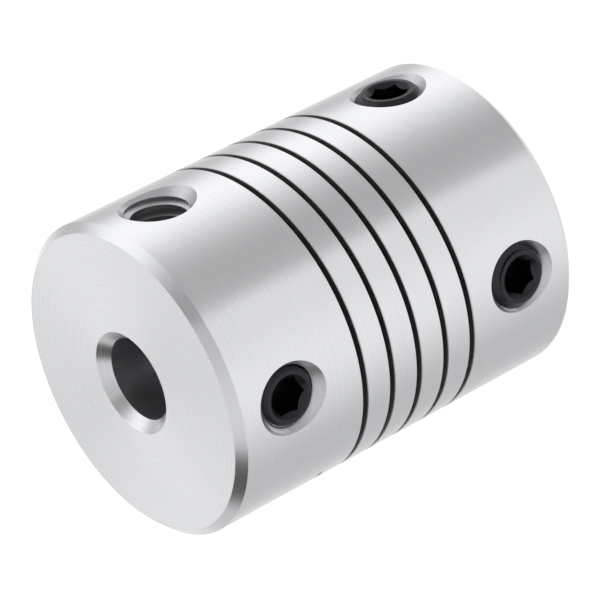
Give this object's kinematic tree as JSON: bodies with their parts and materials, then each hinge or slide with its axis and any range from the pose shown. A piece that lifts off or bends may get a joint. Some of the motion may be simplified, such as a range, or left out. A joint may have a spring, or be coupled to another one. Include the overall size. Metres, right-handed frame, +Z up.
{
  "type": "helical beam shaft coupling",
  "caption": "Cylindrical one-piece flexible shaft coupling with a helical slot round its middle, a stepped through bore and recessed set screws in both hubs.",
  "frame": {"origin": "middle of the lower end face, which the coupling stands on", "axes": "+Z up along the shaft axis, from the 8 mm hub to the 5 mm hub; -Y is the front, faced by one screw of each hub, and +X is the side faced by the other"},
  "size_m": [0.019, 0.019, 0.025],
  "materials": {
    "body": "fine turned, satin, uncoated",
    "screws": "black oxide"
  },
  "bodies": {
    "body": {"coupling_body": "body"},
    "screw_upper_front": {"set_screw_upper_front": "screws"},
    "screw_upper_side": {"set_screw_upper_side": "screws"},
    "screw_lower_front": {"set_screw_lower_front": "screws"},
    "screw_lower_side": {"set_screw_lower_side": "screws"}
  },
  "joints": [
    {"name": "upper_front_travel", "type": "slide", "parent": "body", "child": "screw_upper_front", "axis": [0, 1, 0], "range_m": [-0.0021, 0.0021]},
    {"name": "upper_side_travel", "type": "slide", "parent": "body", "child": "screw_upper_side", "axis": [-1, 0, 0], "range_m": [-0.0049, 0]},
    {"name": "lower_front_travel", "type": "slide", "parent": "body", "child": "screw_lower_front", "axis": [0, 1, 0], "range_m": [-0.0021, 0.0014]},
    {"name": "lower_side_travel", "type": "slide", "parent": "body", "child": "screw_lower_side", "axis": [-1, 0, 0], "range_m": [-0.0021, 0.0014]}
  ]
}
